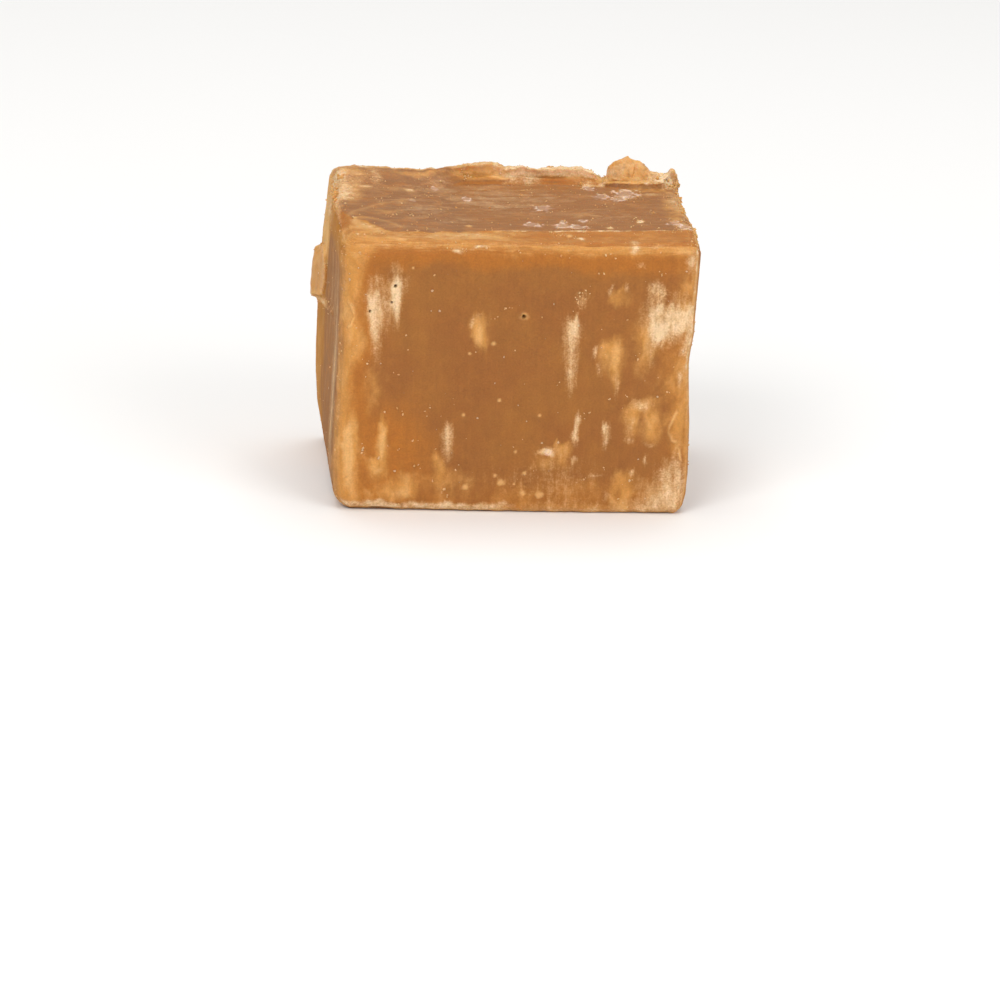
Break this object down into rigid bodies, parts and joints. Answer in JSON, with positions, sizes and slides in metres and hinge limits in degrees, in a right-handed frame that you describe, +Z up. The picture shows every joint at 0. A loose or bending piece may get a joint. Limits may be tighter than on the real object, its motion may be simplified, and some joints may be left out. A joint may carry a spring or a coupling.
{
  "type": "fudge cube",
  "caption": "Hand-cut cube of butter fudge with softened edges and a torn crest along the back of its top, a sweet that rests on its flat underside.",
  "frame": {"origin": "middle of the part's box in plan, on the surface the block rests on", "axes": "+X runs left to right along the front cut face, +Y from that face to the back, and +Z up"},
  "size_m": [0.0278, 0.0202, 0.0225],
  "materials": {
    "fudge": "waxy satin fudge, golden at the cut edges, with pale sugar marks"
  },
  "bodies": {
    "root": {"fudge_cube": "fudge"}
  },
  "joints": []
}
